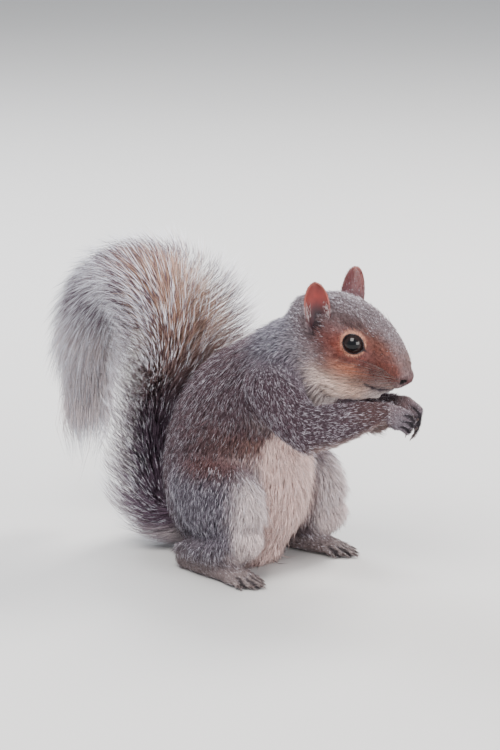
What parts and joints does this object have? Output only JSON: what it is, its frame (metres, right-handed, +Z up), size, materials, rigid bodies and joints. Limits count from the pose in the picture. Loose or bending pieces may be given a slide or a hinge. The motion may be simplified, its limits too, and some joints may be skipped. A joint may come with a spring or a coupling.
{
  "type": "grey squirrel",
  "caption": "Life-size grey squirrel that sits upright on its haunches, forepaws held at the mouth and bushy tail laid up its back.",
  "frame": {"origin": "under the middle of the animal's box, at floor level", "axes": "+X the way the body faces, +Y its left side, +Z up"},
  "size_m": [0.2424, 0.1078, 0.1717],
  "materials": {
    "coat": "short dense grizzled fur",
    "tail_hair": "long soft banded hair with white tips",
    "skin": "thin bare skin with down",
    "eye": "wet dark eye",
    "claw": "dark horn claw"
  },
  "bodies": {
    "root": {"head": "coat", "neck": "coat", "trunk": "coat", "ear_right": "skin", "ear_left": "skin", "eye_right": "eye", "eye_left": "eye", "upper_arm_right": "coat", "upper_arm_left": "coat", "forearm_right": "coat", "forearm_left": "coat", "forepaw_right": "coat", "forepaw_left": "coat", "thigh_right": "coat", "thigh_left": "coat", "shank_right": "coat", "shank_left": "coat", "hind_foot_right": "coat", "hind_foot_left": "coat", "tail_root": "tail_hair", "tail_rise": "tail_hair", "tail_bend": "tail_hair", "tail_tip": "tail_hair"}
  },
  "joints": []
}
